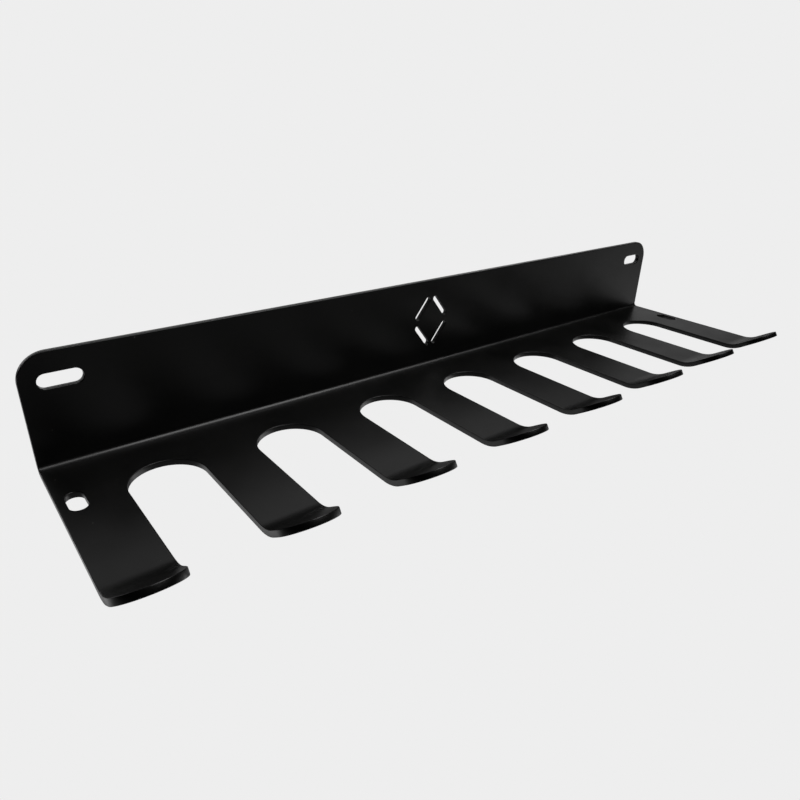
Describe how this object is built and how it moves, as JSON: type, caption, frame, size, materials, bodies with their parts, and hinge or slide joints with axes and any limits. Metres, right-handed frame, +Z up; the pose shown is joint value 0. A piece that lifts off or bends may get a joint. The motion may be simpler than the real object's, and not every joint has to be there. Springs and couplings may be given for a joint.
{
  "type": "wall cue rack",
  "caption": "Folded sheet-steel wall rack: a back plate with slotted screw holes and a shelf of curl-tipped tines with U-shaped slots between them.",
  "frame": {"origin": "on the rear face of the back plate, midway between the two wall slots", "axes": "+X to the right as seen from the room, along the rack's length; +Y out of the rear face, into the wall; +Z up"},
  "size_m": [0.6, 0.1611, 0.075],
  "materials": {
    "black_powder_coat": "satin black powder coat with a fine texture"
  },
  "bodies": {
    "root": {"back_plate": "black_powder_coat", "main_fold": "black_powder_coat", "shelf": "black_powder_coat", "tine_1": "black_powder_coat", "tine_2": "black_powder_coat", "tine_3": "black_powder_coat", "tine_4": "black_powder_coat", "tine_5": "black_powder_coat", "tine_6": "black_powder_coat", "tine_7": "black_powder_coat", "tine_8": "black_powder_coat", "tip_1": "black_powder_coat", "tip_2": "black_powder_coat", "tip_3": "black_powder_coat", "tip_4": "black_powder_coat", "tip_5": "black_powder_coat", "tip_6": "black_powder_coat", "tip_7": "black_powder_coat", "tip_8": "black_powder_coat"}
  },
  "joints": []
}
